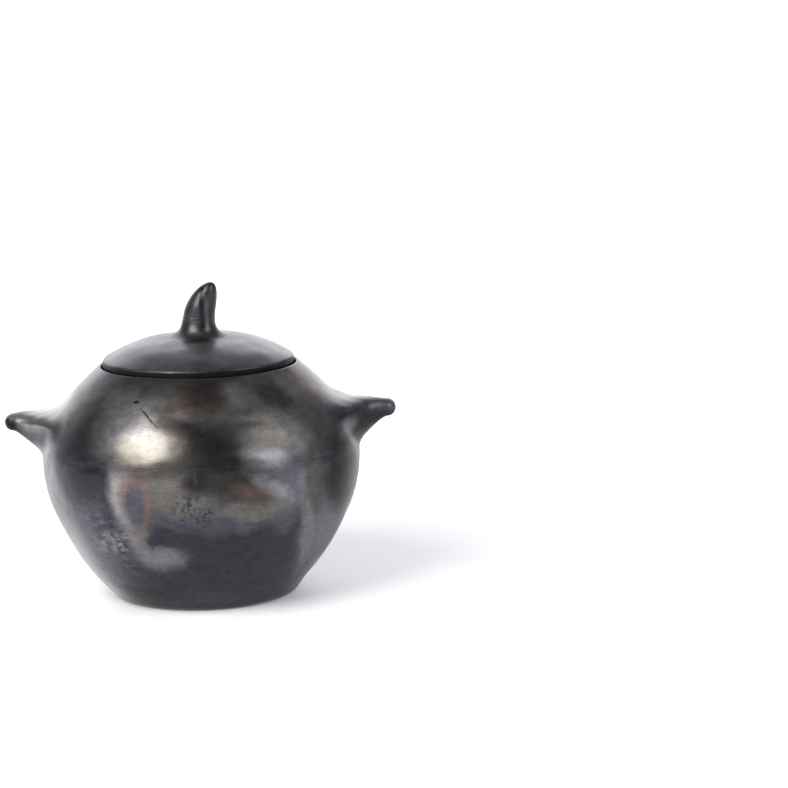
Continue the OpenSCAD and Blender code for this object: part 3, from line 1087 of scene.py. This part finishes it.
# The floor's glow is weak round the pot and full this far from a place to its right, which leaves
# painted shade on the floor by the pot's right side
GLOW_CENTRE = (0.35, -0.1, 0.0)
GLOW_NEAR = 0.4
GLOW_FAR = 1.2
GLOW_WEAK = 0.14
# Softboxes: name, degrees to the right of the front, degrees up, distance from the pot,
# width, height, radiance and colour
SOFTBOXES = [
    ("key", -39, 37, 1.4, 1.0, 1.2, 8.0, (1.0, 0.965, 0.91)),
    ("fill", 61, 31, 1.5, 0.9, 1.2, 2.8, (1.0, 0.985, 0.98)),
]
SOFTBOX_TARGET = Vector((0, 0, 0.11))
# The backdrop is a bright part of the world: its middle, and the cosines of the angles from
# there at which its light sets in and is full
BACKDROP_TOWARDS = (-0.15, 0.98, 0.12)
BACKDROP_EDGE = (0.62, 0.90)
BACKDROP_LIGHT = 2.2
ROOM_LIGHT = 0.42
# Long lens, in the place from which the pot was seen: angles in degrees, sensor in mm
CAMERA_PLACE = (0.1334, -2.2323, 0.5285)
LOOKS_DOWN = 10
LEANS_RIGHT = 1.4
LENS = 150.8
SENSOR_W = 36.0


def floor():
    """Wide pale floor, glowing softly away from the pot so that it stays white to its edge."""
    s = Shader("floor_white")
    s.set("Base Color", FLOOR_WHITE)
    s.set("Roughness", 0.6)
    s.set("Emission Color", GLOW_WHITE)
    away = s.node("ShaderNodeVectorMath", s.place, GLOW_CENTRE, operation="DISTANCE")
    # Less glow near the pot and to its right: painted shade on the floor
    glow = s.ramp(away.outputs["Value"], GLOW_NEAR, GLOW_FAR, GLOW_WEAK, 1.0)
    s.set("Emission Strength", glow)
    mesh = bpy.data.meshes.new("floor")
    signs = [(-1, -1), (1, -1), (1, 1), (-1, 1)]
    corners = [(a * FLOOR_HALF, b * FLOOR_HALF, 0) for a, b in signs]
    mesh.from_pydata(corners, [], [(0, 1, 2, 3)])
    mesh.materials.append(s.material)
    obj = bpy.data.objects.new("floor", mesh)
    bpy.context.collection.objects.link(obj)


def soft_light(name, azimuth, elevation, distance, width, height, radiance, colour):
    """Oval softbox aimed at the pot. Azimuth is counted from the front, to the right."""
    a, e = math.radians(azimuth), math.radians(elevation)
    away = Vector((math.sin(a) * math.cos(e), -math.cos(a) * math.cos(e), math.sin(e)))
    data = bpy.data.lights.new(name, "AREA")
    data.shape = "ELLIPSE"
    data.size, data.size_y = width, height
    data.energy = radiance * math.pi * width * height
    data.color = colour
    lamp = bpy.data.objects.new(name, data)
    lamp.location = SOFTBOX_TARGET + away * distance
    lamp.rotation_euler = away.to_track_quat("Z", "Y").to_euler()
    bpy.context.collection.objects.link(lamp)


def studio():
    """World light: a bright backdrop behind the pot, and a dim room all round else."""
    world = bpy.data.worlds.new("studio")
    bpy.context.scene.world = world
    world.use_nodes = True
    s = Nodes(world.node_tree, "Generated")
    background = s.tree.nodes["Background"]
    s.feed(background.inputs["Color"], WORLD_WHITE)
    towards = s.node("ShaderNodeVectorMath", s.place, BACKDROP_TOWARDS, operation="DOT_PRODUCT")
    strength = s.ramp(towards.outputs["Value"], *BACKDROP_EDGE, ROOM_LIGHT, BACKDROP_LIGHT)
    s.feed(background.inputs["Strength"], strength)


def camera():
    """A little above the pot, looking slightly down on it."""
    data = bpy.data.cameras.new("camera")
    data.sensor_width = SENSOR_W
    data.lens = LENS
    obj = bpy.data.objects.new("camera", data)
    obj.matrix_world = (
        Matrix.Translation(CAMERA_PLACE)
        @ Matrix.Rotation(math.radians(90 - LOOKS_DOWN), 4, "X")
        @ Matrix.Rotation(math.radians(-LEANS_RIGHT), 4, "Z")
    )
    bpy.context.collection.objects.link(obj)
    bpy.context.scene.camera = obj


def pot():
    """Every clay part, in its place."""
    burnished, lid, inner = burnished_clay(), lid_clay(), inner_clay()
    grid = wall_grid()
    both = [burnished, inner]
    wall_piece("pot_base", "base_disc", "burnished_clay", both, grid, "base_out", "base_in")
    wall_piece("pot_bowl", "lower_bowl", "burnished_clay", both, grid, "bowl_out", "bowl_in")
    wall_piece("pot_shoulder", "shoulder_wall", "burnished_clay", both, grid,
               "shoulder_out", "shoulder_in")
    wall_piece("pot_rim", "mouth_rim", "burnished_clay", both, grid, "rim_out", "rim_in")
    wall_piece("pot_ledge", "lid_ledge", "inner_clay", [inner], grid, "ledge")
    lug_piece("lug_left", "left_lug", LEFT, burnished)
    lug_piece("lug_right", "right_lug", RIGHT, burnished)
    lid_piece(lid, inner)
    stem_piece(lid)


pot()
floor()
for softbox in SOFTBOXES:
    soft_light(*softbox)
studio()
camera()
bpy.context.scene.view_settings.view_transform = "Standard"
